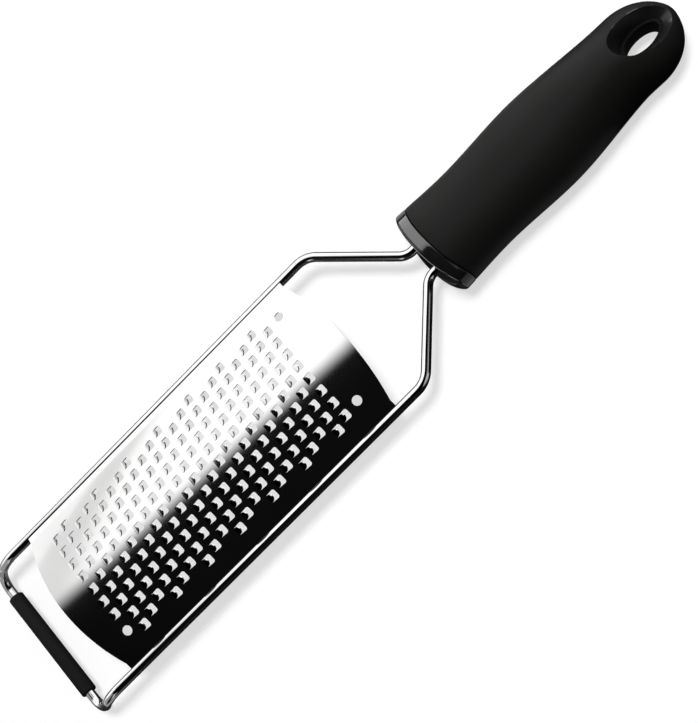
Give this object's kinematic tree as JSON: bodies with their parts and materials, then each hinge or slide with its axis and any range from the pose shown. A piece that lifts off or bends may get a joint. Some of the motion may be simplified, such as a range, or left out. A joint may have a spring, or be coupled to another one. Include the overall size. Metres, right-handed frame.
{
  "type": "coarse grater",
  "caption": "Hand-held coarse grater: an arched steel blade of raised teeth on a bent wire frame, with a rubber foot sleeve and a soft black handle with a hanging hole",
  "frame": {"origin": "the middle of the rectangle that the grater covers, on its lowest point, which is under the handle", "axes": "+X runs across the blade, +Y runs from the foot bar to the handle's end, +Z is the side with the cutting teeth"},
  "size_m": [0.0684, 0.3202, 0.0303],
  "materials": {
    "blade_steel": "bright polished sheet with etched edges",
    "wire_steel": "bright polished wire",
    "weld_steel": "plain weld metal",
    "foot_rubber": "matt black",
    "soft_grip": "soft-touch matt black",
    "core_plastic": "black with a satin face",
    "collar_gloss": "gloss black"
  },
  "bodies": {
    "root": {"grating_blade": "blade_steel", "wire_frame": "wire_steel", "foot_sleeve": "foot_rubber", "handle_core": "core_plastic", "soft_grip": "soft_grip", "front_collar": "collar_gloss", "weld_left_1": "weld_steel", "weld_left_2": "weld_steel", "weld_left_3": "weld_steel", "weld_left_4": "weld_steel", "weld_left_5": "weld_steel", "weld_right_1": "weld_steel", "weld_right_2": "weld_steel", "weld_right_3": "weld_steel", "weld_right_4": "weld_steel", "weld_right_5": "weld_steel"}
  },
  "joints": []
}
